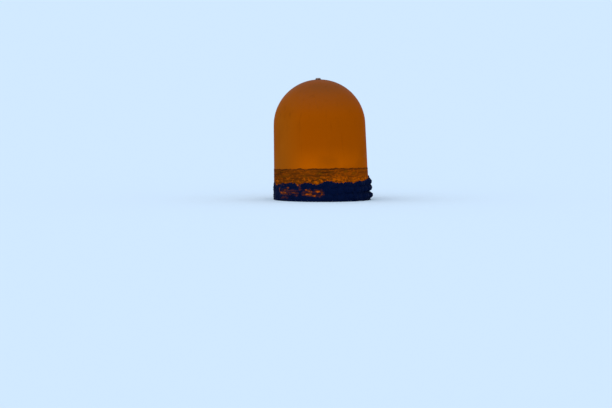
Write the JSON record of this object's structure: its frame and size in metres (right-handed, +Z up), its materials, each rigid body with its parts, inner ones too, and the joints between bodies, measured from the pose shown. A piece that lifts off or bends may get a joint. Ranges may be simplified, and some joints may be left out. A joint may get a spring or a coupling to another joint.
{
  "type": "navigation marker buoy",
  "caption": "Orange bullet-shaped marker buoy: moulded float with a round crown, weed crust at the waterline, iron-ballasted steel tail, mooring swivel and bow shackle.",
  "frame": {"origin": "centre of the float's waterline plane, on the buoy's axis", "axes": "+Z up along the buoy's axis; the shackle pin lies along Y, and the crust is highest on the +X side"},
  "size_m": [0.8395, 0.8251, 2.4577],
  "materials": {
    "float_plastic": "weathered orange rotationally moulded polyethylene, with a brown slime band near the waterline",
    "growth": "dried black weed and lime crust",
    "rubber_seal": "black rubber",
    "plug_steel": "weathered steel, brownish grey",
    "galvanised": "hot-dip galvanised steel, dulled by the sea",
    "ballast_iron": "rusted cast iron",
    "forged_steel": "galvanised forged steel, rusting at the wear faces"
  },
  "bodies": {
    "float_body": {"float_shell": "float_plastic", "growth_crust": "growth", "plug_gasket": "rubber_seal", "crown_plug": "plug_steel", "base_pad": "rubber_seal", "base_plate": "galvanised", "tail_tube": "galvanised", "gusset_1": "galvanised", "gusset_2": "galvanised", "gusset_3": "galvanised", "gusset_4": "galvanised", "clamp_collar": "galvanised", "ballast_ring_1": "ballast_iron", "ballast_ring_2": "ballast_iron", "ballast_ring_3": "ballast_iron", "ballast_ring_4": "ballast_iron", "end_plate": "galvanised", "swivel_housing": "galvanised"},
    "swivel": {"swivel_eye": "forged_steel"},
    "shackle": {"shackle_bow": "forged_steel", "shackle_pin": "forged_steel", "shackle_nut": "forged_steel"}
  },
  "joints": [
    {"name": "swivel_turn", "type": "hinge", "parent": "float_body", "child": "swivel", "pos_m": [0, 0, -1.299], "axis": [0, 0, 1], "continuous": true},
    {"name": "shackle_swing", "type": "hinge", "parent": "swivel", "child": "shackle", "pos_m": [0, 0, -1.299], "axis": [0, 1, 0], "range_deg": [-135, 135]}
  ]
}
